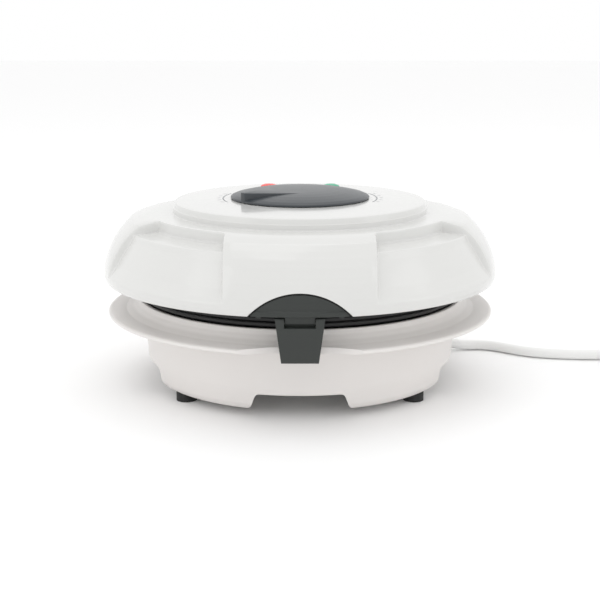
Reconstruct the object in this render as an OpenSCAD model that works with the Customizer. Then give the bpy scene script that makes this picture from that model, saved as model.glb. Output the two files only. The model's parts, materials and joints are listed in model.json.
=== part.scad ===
// Electric donut maker: hinged lid and base with seven ring moulds, thermostat knob and front latch.
// Millimetres. X to the right, Y to the rear, Z up. The origin is on the table, under the middle of the
// bounding box without the cord. Shapes are drawn round the lid's own axis, which lies at axis_y.

/* [Outside] */
// Radius of the lid rim at its widest
lid_r = 120; // [119:0.5:121]
// Outer radius of the base flange
flange_r = 118; // [116:0.5:119]
// Diameter of each rubber foot
foot_d = 12; // [8:0.5:12]

/* [Moulds] */
// Radius of the circle through the middle of each ring trough
trough_r = 19.2; // [18:0.2:19.2]
// Radius of the round trough section
trough_section_r = 10.2; // [9:0.2:10.2]
// Distance from the middle mould to the six around it
mould_pitch = 64; // [63.8:0.1:64.4]

/* [Controls] */
// Diameter of the thermostat knob
knob_d = 85; // [80:1:88]
// Width of the knob's raised pointer
pointer_w = 9; // [6:0.5:12]
// Width across each indicator lens
lens_d = 11; // [8:0.5:12]
// Width of the latch at its top
latch_top_w = 26.7; // [25:0.1:28]
// Width of the latch at its bottom
latch_bottom_w = 20; // [18:0.5:22]

/* [Cord] */
// Diameter of the mains cord
cord_d = 6.4; // [6:0.1:6.4]

/* [Hidden] */
$fn = 64;

axis_y = -5.35;           // the lid's axis, forward of the origin because the hinge stands out at the rear
eps = 0.01;
run_gap = 0.3;            // gap between pieces that move past each other
slip = 0.06;              // radial clearance of a pin or shaft that turns
fit = 0.1;                // clearance round a screw or a part that is pushed in

// heights
leg_z = 5;                // bottom of the legs, above the rubber feet
floor_z = 22;             // underside of the ledge that the bottom cover is screwed to
front_arch_z = 15.1;       // top of the arches at the front and the rear
side_arch_z = 17;         // top of the arches at the sides
part_z = 58;              // parting plane between the two plates
web = 3;                  // thickness of a plate between its troughs
trough_wall = 2.3;        // metal round a trough
plate_r = 98.2;
lower_face = part_z - run_gap / 2;
upper_face = part_z + run_gap / 2;
trough_drop = trough_section_r + trough_wall;

// screws and posts that hold the plates
post_r = 4.5;
plate_post_at = 86;       // posts of the lower plate
lid_post_at = 85;         // posts of the upper plate
plate_post_angles = [30, 150, 270];
screw_r = 1.5;
clip_at = mould_pitch / sqrt(3);

// hinge
pivot_y = 126;
pivot_z = part_z;
pin_r = 2.5;
ear_in = 17.5;            // base ears from here
ear_out = 24;             // to here, each side
arm_in = ear_out + run_gap + 0.1;
arm_out = 31;

// latch, hung from the grip insert
latch_y = -117.2;
latch_z = 62.6;
latch_knuckle_r = 3.2;
latch_pin_r = 1.5;
latch_slot_w = 16.8;
lug_w = 16;

// front grip, a segment of a circle
grip_half_w = 28;
grip_top_z = 78.9;
grip_bottom_z = 66.2;
grip_r = (pow(grip_half_w, 2) + pow(grip_top_z - 65.9, 2)) / (2 * (grip_top_z - 65.9));
grip_z = grip_top_z - grip_r;

// knob and thermostat
lid_top_z = 112.6;
knob_r = knob_d / 2;
shaft_r = 3;
bush_r = 4.5;
nut_z = lid_top_z + 0.1;
lens_x = 20.2;
lens_y = 52;

// cord: where it leaves the leg, its direction and its route
cord_r = cord_d / 2;
boss_at = [73.1, 58, 13];
cord_tilt = 15;
gland_len = 30;
gland_end = boss_at + gland_len * [cos(cord_tilt), 0, -sin(cord_tilt)];
cord_route = [
    gland_end, [105.5, 58.1, 4.5], [109, 58.4, 3.9], [114, 59, 3.4], [120, 59.4, 3.3], [126, 58.6, 3.3],
    [131.5, 56.2, 3.3], [136.5, 52.8, 3.3], [141.5, 48.8, 3.3], [147, 44.8, 3.3], [153, 41.5, 3.3],
    [160, 38.8, 3.3], [168, 36.8, 3.3], [178, 35.3, 3.3], [190, 34.3, 3.4], [205, 33.8, 3.7], [222, 33.7, 3.9]
];
tail_route = [
    [275.1, -31, 10.3], [275.1, -36, 9.4], [275.1, -41, 7.9], [275.1, -46, 6.5], [275.1, -51, 5.7],
    [275.1, -55, 5.6], [275.1, -59, 6]
];
coil_at = [240, -8];
coil_in = 25.2;
coil_out = 44.9;
coil_low = 0.7;
coil_high = 13.6;
tie_angle = 200;
tie_w = 8;
tie_t = 0.6;

// plug: lies beside the coil, its tail at the end of the tail route
plug_at = [275.1, -59, 6];
plug_tilt = 12;
plug_len = 58;
plug_r = 18.2;
plug_pin_d = 4.8;
plug_pin_len = 19;
plug_pin_gap = 19;

// ---------- shared shapes ----------

// moves a finished piece from the lid's axis to its place in the frame
module placed() {
    translate([0, axis_y, 0]) children();
}

module ring_of(angles, at) {
    for (a = angles) rotate([0, 0, a]) translate([at, 0, 0]) children();
}

module rod(r, z1, z2) {
    translate([0, 0, z1]) cylinder(r = r, h = z2 - z1);
}

module rod_x(r, x1, x2) {
    translate([x1, 0, 0]) rotate([0, 90, 0]) cylinder(r = r, h = x2 - x1);
}

module sector(start, angle, outline) {
    rotate_extrude(angle = angle, start = start) polygon(outline);
}

// a side profile of [y, z] points, extruded between two x values
module slab_x(x1, x2, outline) {
    translate([x1, 0, 0]) rotate([90, 0, 90]) linear_extrude(x2 - x1) polygon(outline);
}

// a front profile of [x, z] points, extruded between two y values
module slab_y(y1, y2, outline) {
    translate([0, y2, 0]) rotate([90, 0, 0]) linear_extrude(y2 - y1) polygon(outline);
}

function unit(v) = v / norm(v);
function tangent(path, i) =
    unit(path[min(i + 1, len(path) - 1)] - path[max(i - 1, 0)]);
function ring_points(path, i, r, sides) =
    let (t = tangent(path, i), side = unit(cross(t, [0.02, 0.01, 1])), up = cross(side, t))
    [for (k = [0:sides - 1]) path[i] + r * (cos(360 * k / sides) * side + sin(360 * k / sides) * up)];

// a closed tube along a list of points
module tube(path, r, sides) {
    n = len(path);
    points = [for (i = [0:n - 1]) each ring_points(path, i, r, sides)];
    walls = [for (i = [0:n - 2]) for (k = [0:sides - 1])
        let (a = i * sides + k, b = i * sides + (k + 1) % sides)
        each [[a, b, b + sides], [a, b + sides, a + sides]]];
    first = [for (k = [1:sides - 2]) [0, k + 1, k]];
    last_ring = (n - 1) * sides;
    last = [for (k = [1:sides - 2]) [last_ring, last_ring + k, last_ring + k + 1]];
    polyhedron(points = points, faces = [for (f = concat(walls, first, last)) [f[2], f[1], f[0]]],
        convexity = 8);
}

// screw pointing up from its head
module screw(head_r, head_h, length) {
    cylinder(r = head_r, h = head_h);
    translate([0, 0, head_h - eps]) cylinder(r = screw_r, h = length + eps);
}

// ---------- base ----------

// height of the ledge that carries the bottom cover, and its inner radius
ledge_t = 2.5;
ledge_r = 66;
cover_screw_at = 69;
cover_screw_angles = [15, 105, 195, 285];
spacer_angles = [60, 180, 300];
spacer_at = 71;
rear_feet = [[-37, 76], [37, 76]];
front_feet = [[-67, -52.5], [67, -52.5]];
shield_z = 34;
shield_t = 0.8;

bowl_outline = [
    [76, leg_z], [90.4, leg_z], [91.5, leg_z + 1.2], [94.4, 18], [95.3, 29], [96.5, 42], [97.6, 43.6],
    [flange_r - 1.6, 43.9], [flange_r, 44.8], [flange_r, 45.8], [flange_r - 0.8, 46.6],
    [107, 47.2], [103, 48.8], [100.6, 51.4], [99.6, 54], [99.2, 54.4],
    [97.6, 54.4], [97.3, 53.8], [97.2, 47], [94, 42.5], [92.8, 29], [92.4, floor_z + ledge_t], [76,
        floor_z + ledge_t]
];

module arch(half_bottom, half_top, top_z) {
    polygon([[-half_bottom, leg_z - 2], [-half_top, top_z], [half_top, top_z], [half_bottom, leg_z - 2]]);
}

module base_ears() {
    ear = [[96, 44.4], [108, 44.4], [131, 52.5], [132, 58], [126, 63], [119.8, 60], [112.5, 46.8], [96,
        46.8]];
    for (side = [-1, 1]) {
        slab_x(side > 0 ? ear_in : -ear_out, side > 0 ? ear_out : -ear_in, ear);
        translate([0, pivot_y, pivot_z]) rod_x(6.5, side > 0 ? ear_in : -ear_out,
            side > 0 ? ear_out : -ear_in);
    }
    translate([0, pivot_y, pivot_z]) rod_x(6.2, -ear_in - 1, -run_gap);
}

// the bowl with its flange, hollow legs and arches
module bowl() {
    difference() {
        union() {
            rotate_extrude($fn = 96) polygon(bowl_outline);
            rotate_extrude($fn = 96) polygon([
                [ledge_r, floor_z], [77, floor_z], [77, floor_z + ledge_t], [ledge_r, floor_z + ledge_t]]);
        }
        for (rear = [0, 180]) rotate([0, 0, rear])
            translate([0, -60, 0]) rotate([90, 0, 0]) linear_extrude(50) arch(28.5, 24.8, front_arch_z);
        for (turn = [90, 270]) rotate([0, 0, turn])
            translate([0, -60, 0]) rotate([90, 0, 0]) linear_extrude(50) arch(40.5, 43, side_arch_z);
        for (turn = [0, 180]) rotate([0, 0, turn]) {
            sector(-71.5, 143, [[78.6, 19.5], [91.6, 19.5], [92.4, 26], [78.6, 26]]);
            for (leg = [-69.5, 35]) sector(leg, 34.5, [[78.6, 7.5], [88.9, 7.5], [91.7, 20], [78.6, 20]]);
        }
        // notch in the flange behind the latch
        translate([0, 0, 43]) linear_extrude(12)
            polygon([[-34, -130], [-34, -113], [-17, -109.2], [17, -109.2], [34, -113], [34, -130]]);
    }
}

module along_cord(from, r, length) {
    translate(boss_at) rotate([0, 90 + cord_tilt, 0]) translate([0, 0, from]) cylinder(r = r, h = length);
}

module base_shell() placed() {
    color("whitesmoke") difference() {
        union() {
            bowl();
            base_ears();
            along_cord(-8, 7.5, 11);
            for (a = plate_post_angles) rotate([0, 0, a]) translate([plate_post_at, 0, 0])
                rod(post_r, a == 270 ? floor_z + 1 : 18.5, 42);
            ring_of(cover_screw_angles, cover_screw_at) rod(3.6, floor_z + 1, 31);
        }
        ring_of(plate_post_angles, plate_post_at) {
            rod(screw_r + fit, 16, 43);
            rod(3.4, 16, 28);
        }
        ring_of(cover_screw_angles, cover_screw_at) rod(screw_r + fit, 20, 32);
        for (p = concat(front_feet, rear_feet)) translate([p[0], p[1], 0]) rod(2 + fit, leg_z - 1, leg_z + 4);
        // ways through for the cord, the hinge pins and the wires to the lid
        along_cord(-14, 5, 28);
        along_cord(2.98, 7, 6);
        translate([0, pivot_y, pivot_z]) rod_x(pin_r + 0.03, ear_in - 1, ear_out + 1);
        translate([0, pivot_y, pivot_z]) rod_x(pin_r + 0.03, -ear_out - 1, -ear_in + 1);
        translate([0, pivot_y, pivot_z]) rod_x(3.6, -12, 1);
        translate([-8, pivot_y, pivot_z]) rotate([120, 0, 0]) cylinder(r = 3, h = 12);
        translate([-8, 104, 50.6]) rotate([90, 0, 0]) cylinder(r = 2.4, h = 12);
    }
}

module bottom_cover() placed() {
    color("gainsboro") difference() {
        rod(72, floor_z - 2, floor_z);
        ring_of(cover_screw_angles, cover_screw_at) rod(screw_r + fit, 19, 23);
        for (a = [0:45:315]) rotate([0, 0, a]) translate([28, -2, 18]) cube([22, 4, 6]);
    }
}

module bottom_cover_screws() placed() {
    color("silver") ring_of(cover_screw_angles, cover_screw_at)
        translate([0, 0, floor_z - 3.8]) screw(3, 1.8, 9);
}

module rubber_feet() placed() {
    color("dimgray") for (p = concat(front_feet, rear_feet)) translate([p[0], p[1], 0]) {
        rod(foot_d / 2, 0, leg_z);
        rod(2, leg_z - eps, 7.6);
        rod(3, 7.5, 9);
    }
}

// ---------- moulded plates: face at z = 0, troughs downwards ----------

module mould_places() {
    children();
    for (a = [0:60:300]) rotate([0, 0, a]) translate([mould_pitch, 0, 0]) children();
}

module trough_ring(r) {
    rotate_extrude($fn = 64) translate([trough_r, 0]) circle(r = r, $fn = 48);
}

// face_screws: the screws go in from the cooking face, with sunk heads
module plate(boss_at_r, boss_z, face_screws = false) {
    difference() {
        union() {
            rotate_extrude($fn = 96) polygon([
                [0, -web], [plate_r - 1, -web], [plate_r, -web + 1], [plate_r, -0.6], [plate_r - 0.6, 0],
                    [0, 0]]);
            intersection() {
                mould_places() trough_ring(trough_section_r + trough_wall);
                rod(plate_r, -20, -0.5);
            }
            ring_of(plate_post_angles, boss_at_r) rod(post_r, -boss_z, -0.5);
            ring_of(plate_post_angles, clip_at) rod(4, -lower_face + 38.5, -0.5);
        }
        mould_places() trough_ring(trough_section_r);
        ring_of(plate_post_angles, boss_at_r) {
            rod(screw_r + fit, -boss_z - 1, face_screws ? 1 : -web);
            if (face_screws) rod(3 + fit, -2, 1);
        }
    }
}

module lower_plate() placed() {
    color("dimgray") translate([0, 0, lower_face]) plate(plate_post_at, lower_face - 42);
}

module lower_plate_screws() placed() {
    color("silver") ring_of(plate_post_angles, plate_post_at) translate([0, 0, 26.2]) screw(3, 1.8, 22);
}

// ---------- heating elements: local z = 0 at the middle of the tube ----------

element_r = 46;
element_tube_r = 3.2;

module element() {
    rotate_extrude(angle = 330, start = 105) translate([element_r, 0]) circle(r = element_tube_r, $fn = 24);
    for (side = [-1, 1]) translate([side * element_r * sin(15), element_r * cos(15) - 1, 0])
        rotate([-90, 0, 0]) cylinder(r = 2, h = 15, $fn = 24);
}

lower_element_z = lower_face - trough_drop - element_tube_r - 0.15;
upper_element_z = upper_face + trough_drop + element_tube_r + 0.15;

module lower_element() placed() {
    color("slategray") translate([0, 0, lower_element_z]) element();
}

// straps screwed to the small bosses, under the element; local z = 0 is the boss end, straps go down
module element_clips() {
    ring_of(plate_post_angles, clip_at) {
        translate([-4, -4, -1.2]) cube([19, 8, 1.2]);
        rod(2.6, -2.4, -1.2 + eps);
    }
}

module lower_element_clips() placed() {
    color("silver") translate([0, 0, 38.5]) element_clips();
}

module shield(hole_r) {
    rotate_extrude() polygon([
        [hole_r, 0], [79.2, 0], [80, 0.8], [80, 7], [79.2, 7], [79.2, shield_t], [hole_r, shield_t]]);
}

module lower_shield() placed() {
    color("lightgray") translate([0, 0, shield_z]) shield(12);
}

module shield_spacers() placed() {
    color("silver") ring_of(spacer_angles, spacer_at) rod(3.5, floor_z + ledge_t, shield_z);
}

// ---------- wiring in the base ----------

block_at = [14, 26, floor_z];
block_size = [30, 14, 10];

module terminal_block() placed() {
    color("ivory") translate(block_at) difference() {
        cube(block_size);
        for (i = [0:2]) translate([5 + 10 * i, 7, 4]) rod(1.2 + fit, 0, 7);
    }
}

module terminal_screws() placed() {
    color("goldenrod") translate(block_at) for (i = [0:2]) translate([5 + 10 * i, 7, 0]) {
        rod(1.2, 5, block_size[2] + eps);
        rod(2, block_size[2], block_size[2] + 0.9);
    }
}

module earth_terminal() placed() {
    color("goldenrod") translate([-28, 28, shield_z + shield_t]) {
        rod(4.5, 0, 0.8);
        rod(2.4, 0.8 - eps, 2.6);
    }
}

clamp_at = [51, 47, floor_z + ledge_t];

module clamp_frame() {
    translate(clamp_at) rotate([0, 0, 43]) children();
}

module cord_clamp() placed() {
    color("gainsboro") clamp_frame() difference() {
        union() {
            translate([-2.5, -8.5, 4.6]) cube([5, 17, 1.8]);
            for (y = [-6.5, 6.5]) translate([0, y, 0]) rod(2.4, 0, 5);
        }
        for (y = [-6.5, 6.5]) translate([0, y, 0]) rod(1.3, -1, 7);
    }
}

module cord_clamp_screws() placed() {
    color("silver") clamp_frame() for (y = [-6.5, 6.5]) translate([0, y, 0]) {
        rod(1.2, 0.2, 6.4 + eps);
        rod(2.2, 6.4, 7.8);
    }
}

module base_wiring() placed() {
    color("darkgray") {
        tube([boss_at - 10.7 * [cos(cord_tilt), 0, -sin(cord_tilt)], [60.9, 57.6, 17.2], [59.8, 56.2, 20.6],
            [59.2, 55, 25.4],
              [56.5, 52.2, 28.4], [51, 47, 27], [41, 44, 27], [41, 40.3, 27]], 2, 8);
        tube([[19.6, 41, 28.9], [14, 54, 27], [4, 74, 28], [-6, 87, 34], [-8, 89.5, 44], [-8, 91, 49], [-8,
            96, 50.6],
              [-8, 104, 50.6], [-8, 112, 51.6], [-8, 118.5, 53.8], [-7.6, 123.5, 56.6], [-5, 126, 58],
                  [-0.4, 126, 58]],
             1.4, 8);
    }
}

module hinge_pins() placed() {
    color("silver") translate([0, pivot_y, pivot_z]) for (side = [0, 180]) rotate([0, 0, side]) {
        rod_x(pin_r, ear_in, arm_out + 0.5);
        rod_x(4, arm_out + run_gap, arm_out + 1.8);
    }
}

// ---------- mains cord ----------

module cord_gland() placed() {
    color("gainsboro") translate(boss_at) rotate([0, 90 + cord_tilt, 0]) rotate_extrude() polygon([
        [0, -9.9], [4.9, -9.9], [4.9, 3], [6.8, 3], [6.8, 5], [5, 5.6], [4.1, gland_len], [0, gland_len]]);
}

module power_cord() placed() {
    color("whitesmoke") tube(cord_route, cord_r, 8);
}

module cord_coil() placed() {
    color("whitesmoke") translate([coil_at[0], coil_at[1], 0]) rotate_extrude($fn = 72) polygon([
        [coil_in, coil_low + 2], [coil_in + 2, coil_low], [coil_out - 2, coil_low], [coil_out, coil_low + 2],
        [coil_out, coil_high - 2], [coil_out - 2, coil_high], [coil_in + 2, coil_high], [coil_in,
            coil_high - 2]]);
}

module cord_tail() placed() {
    color("whitesmoke") tube(tail_route, cord_r, 8);
}

module cord_tie() placed() {
    color("dimgray") translate([coil_at[0], coil_at[1], 0]) rotate([0, 0, tie_angle])
        translate([coil_in, -tie_w / 2, coil_low]) difference() {
            translate([-tie_t - 0.5, 0, -tie_t])
                cube([coil_out - coil_in + 2 * tie_t + 0.6, tie_w, coil_high - coil_low + 2 * tie_t + 0.1]);
            translate([-0.5, -1, -0.03]) cube([coil_out - coil_in + 0.6, tie_w + 2,
                coil_high - coil_low + 0.1]);
        }
}

module plug_frame() {
    translate(plug_at) rotate([90 - plug_tilt, 0, 0]) children();
}

module plug_body() placed() {
    color("whitesmoke") plug_frame() rotate_extrude() polygon([
        [0, 0], [4.2, 0], [5.4, 16], [11, 20], [13.5, 26], [13, 36], [15, 44], [plug_r, 47],
        [plug_r, plug_len - 0.8], [plug_r - 0.8, plug_len], [0, plug_len]]);
}

module plug_pins() placed() {
    color("silver") plug_frame() for (x = [-1, 1]) translate([x * plug_pin_gap / 2, 0, plug_len]) {
        rod(plug_pin_d / 2, 0, plug_pin_len - 2.4);
        translate([0, 0, plug_pin_len - 2.4]) intersection() {
            sphere(r = plug_pin_d / 2, $fn = 24);
            rod(3, -1, 3);
        }
    }
}

// ---------- lid ----------

lid_scale = lid_r / 120;
// the lid between its petals, from the centre out: plateau, two steps, sloping ledge, hollow flank, rim
panel_outside = [
    [0, lid_top_z], [52, lid_top_z], [64, 112.1], [76, 111.7], [77.3, 111], [77.7, 105.4], [78.4, 105],
    [90.6, 105.2], [91.6, 104.8], [91.9, 104], [92.2, 98.9], [93, 98.2], [102, 97.1], [105, 96.4], [106.8,
        94.6],
    [109, 90.4], [111.7, 84.5], [114.8, 78.8], [118, 73.8], [119.7, 71.6], [120, 70], [120, 68.2], [119.2,
        65.9]
];
panel_inside = [
    [116.4, 65.9], [116.6, 67.4], [116.4, 71.2], [112.2, 77.2], [108.9, 83.5], [106.3, 89.2], [104.2, 93.2],
    [102, 94.1], [89.9, 95.8], [89.4, 96.6], [89.1, 101.8], [88.5, 102.3], [75.6, 102.3], [75, 103], [74.6,
        108.7],
    [64, 109.2], [52, 109.8], [0, 109.8]
];
// what a petal adds outside and hollows out inside
petal_outside = [
    [88, 90], [88, 103.6], [92, 104.7], [94.4, 104.3], [98, 102.9], [102, 101], [106, 98.5], [109.7, 95.3],
    [112.8, 91], [115.3, 86.4], [117, 82.8], [118, 80], [119.3, 75.5], [119.85, 71.6], [117.6, 70.6], [100,
        84]
];
petal_inside = [
    [86, 88], [86, 101.2], [91.6, 102.1], [94, 101.7], [97, 100.4], [101, 98.5], [104.6, 96.2], [107.8, 93.4],
    [110.6, 89.4], [113, 84.8], [115.4, 79.4], [116.7, 75], [116.5, 71.6], [100, 84]
];
petal_half = 22.5;
petal_wall = 1.4;         // angle taken up by a petal's side wall

function widened(outline) = [for (p = outline) [p[0] * lid_scale, p[1]]];

module lid_skin() {
    difference() {
        union() {
            rotate_extrude($fn = 96) polygon(widened(concat(panel_outside, [[110, 65.9], [0, 65.9]])));
            for (a = [0:90:270]) sector(a - petal_half, 2 * petal_half, widened(petal_outside));
        }
        rotate_extrude($fn = 96) polygon(widened(concat([[0, 64]], [[116.4, 64]], panel_inside)));
        for (a = [0:90:270])
            sector(a - petal_half + petal_wall, 2 * (petal_half - petal_wall), widened(petal_inside));
    }
    // ring that closes the lid from the rim in to the edge of the upper plate
    rotate_extrude($fn = 96) polygon([
        [95.7, 61.5], [99.5, 61.5], [102, 64.2], [116.8, 65.9], [116.8, 67.8], [101.2, 66.3], [98.7, 63.6],
            [95.7, 63.6]]);
}

lid_arm = [[114.5, 66.4], [114.5, 72], [119.4, 74.5], [131, 62], [132, 57], [126, 51.8], [120.5, 56],
    [117.8, 65]];

module lid_hinge() {
    for (side = [-1, 1]) {
        slab_x(side > 0 ? arm_in : -arm_out, side > 0 ? arm_out : -arm_in, lid_arm);
        translate([0, pivot_y, pivot_z]) rod_x(6.5, side > 0 ? arm_in : -arm_out,
            side > 0 ? arm_out : -arm_in);
    }
    slab_x(4, 14, lid_arm);
    translate([0, pivot_y, pivot_z]) rod_x(6.2, run_gap, 14);
}

module grip_room(from_y, depth, floor) {
    translate([0, from_y, grip_z]) rotate([90, 0, 0]) intersection() {
        cylinder(r = grip_r, h = depth);
        translate([-50, floor - grip_z, -1]) cube([100, 60, depth + 2]);
    }
}

module lid_shell() placed() {
    color("white") difference() {
        union() {
            lid_skin();
            lid_hinge();
            ring_of(plate_post_angles, lid_post_at) rod(4.2, 72, 103.5);
        }
        ring_of(plate_post_angles, lid_post_at) rod(screw_r + fit, 70, 84);
        rod(bush_r + fit, 100, 120);
        for (x = [-lens_x, lens_x]) translate([x, lens_y, 0]) rod(3.4 + fit, 100, 120);
        // pocket for the grip, and the room behind it over the closing ring
        grip_room(-112, 20, 62);
        grip_room(-103.5, 9, 66.1);
        translate([0, pivot_y, pivot_z]) {
            rod_x(pin_r + slip, arm_in - 1, arm_out + 1);
            rod_x(pin_r + slip, -arm_out - 1, -arm_in + 1);
            rod_x(3.6, -1, 10);
        }
        translate([6, pivot_y, pivot_z]) rotate([48.8, 0, 0]) cylinder(r = 2.6, h = 24);
    }
}

// the grip fills the pocket and carries the latch on a lug
module grip_insert() placed() {
    color("dimgray") difference() {
        union() {
            intersection() {
                sector(252, 36, [[110, grip_bottom_z], [119.2, grip_bottom_z], [119.5, 68.6], [119.3, 73],
                    [117.9, 79.4], [110, 79.4]]);
                translate([0, -90, grip_z]) rotate([90, 0, 0]) cylinder(r = grip_r - run_gap, h = 40);
            }
            translate([0, latch_y, latch_z]) rod_x(2.6, -lug_w / 2, lug_w / 2);
            translate([-lug_w / 2, latch_y - 1.6, latch_z]) cube([lug_w, 4.2, 5]);
        }
        translate([0, latch_y, latch_z]) rod_x(latch_pin_r + 0.02, -lug_w, lug_w);
        for (x = [-17, 17]) translate([x, -113.4, 71]) rotate([-90, 0, 0]) cylinder(r = screw_r + fit, h = 8);
    }
}

module grip_screws() placed() {
    color("silver") for (x = [-17, 17]) translate([x, -106.6, 71]) rotate([90, 0, 0]) translate([0, 0,
        -1.8]) screw(3, 1.8, 6);
}

module latch_pin() placed() {
    color("silver") translate([0, latch_y, latch_z]) rod_x(latch_pin_r, -latch_top_w / 2 + 0.6,
        latch_top_w / 2 - 0.6);
}

module upper_plate() placed() {
    color("dimgray") translate([0, 0, upper_face]) mirror([0, 0, 1]) plate(lid_post_at, 72 - upper_face,
        true);
}

module upper_plate_screws() placed() {
    color("silver") ring_of(plate_post_angles, lid_post_at) translate([0, 0, upper_face + 0.1]) screw(3,
        1.8, 22);
}

module upper_element() placed() {
    color("slategray") translate([0, 0, upper_element_z]) element();
}

module upper_element_clips() placed() {
    color("silver") translate([0, 0, upper_face + lower_face - 38.5]) mirror([0, 0, 1]) element_clips();
}

upper_shield_z = 82;
shield_post_angles = [90, 210, 330];
shield_post_at = 60;

module upper_shield() placed() {
    color("lightgray") translate([0, 0, upper_shield_z]) mirror([0, 0, 1]) shield(12);
}

module upper_shield_posts() placed() {
    color("silver") ring_of(shield_post_angles, shield_post_at) rod(3, upper_shield_z, 109.2);
}

// ---------- thermostat, lamps and wiring in the lid ----------

module thermostat_body() placed() {
    color("ivory") difference() {
        union() {
            rod(14, 90, 103);
            rod(bush_r, 103 - eps, 115);
        }
        rod(shaft_r + slip, 92.7, 116);
    }
}

module thermostat_bracket() placed() {
    color("silver") {
        rod(20, 88.8, 90);
        for (x = [-16, 16]) translate([x, 0, 0]) rod(2, upper_shield_z, 88.8 + eps);
    }
}

module thermostat_nut() placed() {
    color("silver") difference() {
        translate([0, 0, nut_z]) cylinder(r = 8, h = 2.2, $fn = 6);
        rod(bush_r + 0.05, nut_z - 1, nut_z + 3);
    }
}

module thermal_fuse() placed() {
    color("gold") translate([34, -20, upper_shield_z + 3.4]) {
        rod_x(2, -8, 8);
        rod_x(0.6, -14, 14);
    }
}

module fuse_clip() placed() {
    color("silver") translate([34, -20, upper_shield_z]) difference() {
        translate([-3, -3.6, 0]) cube([6, 7.2, 6.2]);
        translate([0, 0, 3.4]) rod_x(2.05, -5, 5);
    }
}

module lens(x) {
    translate([x, lens_y, lid_top_z]) {
        rotate_extrude($fn = 48) polygon([
            [0, 0.05], [lens_d / 2, 0.05], [lens_d / 2, 0.7], [lens_d / 2 - 1, 1.3], [2.6, 1.9], [0, 2.1]]);
        rod(3.4, -9, 0.05 + eps);
    }
}

module red_lens() placed() {
    color("red") lens(-lens_x);
}

module green_lens() placed() {
    color("seagreen") lens(lens_x);
}

module indicator_lamps() placed() {
    color("ghostwhite") for (x = [-lens_x, lens_x]) translate([x, lens_y, 0]) {
        rod(2.4, 93, 101);
        translate([0, 0, 101]) sphere(r = 2.4, $fn = 24);
    }
}

module lamp_holder() placed() {
    color("ivory") difference() {
        translate([-lens_x - 6, lens_y - 5, 88]) cube([2 * lens_x + 12, 10, 5]);
        translate([-5, lens_y + 2, 80]) cube([10, 10, 20]);
    }
    color("ivory") for (x = [-lens_x, lens_x]) translate([x, lens_y, 0]) rod(3, upper_shield_z, 88 + eps);
}

module lid_wiring() placed() {
    color("darkgray") {
        tube([[0.4, 126, 58], [3.4, 126, 58], [5.4, 125, 58.9], [6, 122, 61.5], [6, 118, 65], [6, 111.5,
            70.7],
              [4, 104, 76], [-3, 90, 90], [-10, 72, 97], [-11, 50, 98.5], [-9, 30, 98], [-6, 14.4, 97]],
                  1.4, 8);
        for (x = [-1, 1]) tube([[x * lens_x, lens_y - 5.2, 90], [x * 18, 38, 91], [x * 14, 26, 93.5],
            [x * 9, 13.3, 95]], 1, 6);
    }
}

// ---------- knob, turned by hand ----------

pointer_turn = 36.6;      // the pointer rests at the lowest setting, front left

module thermostat_knob() placed() {
    s = knob_r / 42.5;
    color("slategray") translate([0, 0, lid_top_z]) difference() {
        union() {
            rotate_extrude($fn = 96) polygon([
                [knob_r - 2.4, 0.25], [knob_r - 0.5, 0.25], [knob_r, 0.8], [knob_r - 0.3, 1.6], [39.5 * s, 2.7],
                [35 * s, 3.7], [30 * s, 4.6], [24 * s, 5.3], [18 * s, 5.7], [8, 6], [0, 6.05], [0, 4.6],
                [18 * s, 4.2], [30 * s, 3.1], [knob_r - 4, 1.3]]);
            rotate([0, 0, pointer_turn]) intersection() {
                translate([0, 0, 1.6]) linear_extrude(4.8) polygon([
                    [-knob_r, -pointer_w / 4], [-14, -pointer_w / 4 - 16], [-14, pointer_w / 4 + 16],
                    [-knob_r, pointer_w / 4]]);
                rod(knob_r - 0.4, 0, 10);
            }
            rod(6.5, 2.45, 5.5);
        }
        rod(shaft_r + 0.02, 0, 4.6);
        rod(9, 0, 2.4);
    }
}

module thermostat_shaft() placed() {
    color("silver") rod(shaft_r, 93, lid_top_z + 4.5);
}

module knob_clip() placed() {
    color("silver") translate([0, 0, lid_top_z]) difference() {
        rod(7.4, 2.6, 4.1);
        rod(6.55, 2, 6);
    }
}

// ---------- latch ----------

module latch_lever() placed() {
    front_y = -121.8;
    back_y = -119.2;
    hook_tip_y = -109.7;
    foot_z = 41.5;
    hook_z = 43;
    top_z = latch_z + latch_knuckle_r;
    color("dimgray") difference() {
        intersection() {
            slab_y(front_y - 1, hook_tip_y + 1, [
                [-latch_bottom_w / 2 + 1.2, foot_z], [-latch_bottom_w / 2, foot_z + 1.2], [-latch_top_w / 2,
                    top_z],
                [latch_top_w / 2, top_z], [latch_bottom_w / 2, foot_z + 1.2], [latch_bottom_w / 2 - 1.2,
                    foot_z]]);
            union() {
                slab_x(-20, 20, [
                    [front_y + 0.6, foot_z], [front_y, foot_z + 0.6], [front_y, 60.5], [latch_y - 2.9,
                        63.5], [latch_y, latch_z + 1],
                    [latch_y + 1.5, latch_z - 2], [back_y, 59.5], [back_y, 44.5], [back_y + 1.2, hook_z],
                        [hook_tip_y, hook_z],
                    [hook_tip_y, foot_z + 0.8], [hook_tip_y - 0.8, foot_z]]);
                translate([0, latch_y, latch_z]) rod_x(latch_knuckle_r, -20, 20);
            }
        }
        // room for the lug of the grip between the two cheeks
        translate([-latch_slot_w / 2, back_y, 59]) cube([latch_slot_w, 12, 10]);
        translate([-latch_slot_w / 2, front_y - 1, 60.6]) cube([latch_slot_w, 12, 10]);
        translate([0, latch_y, latch_z]) rod_x(latch_pin_r + slip, -20, 20);
    }
}

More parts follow.
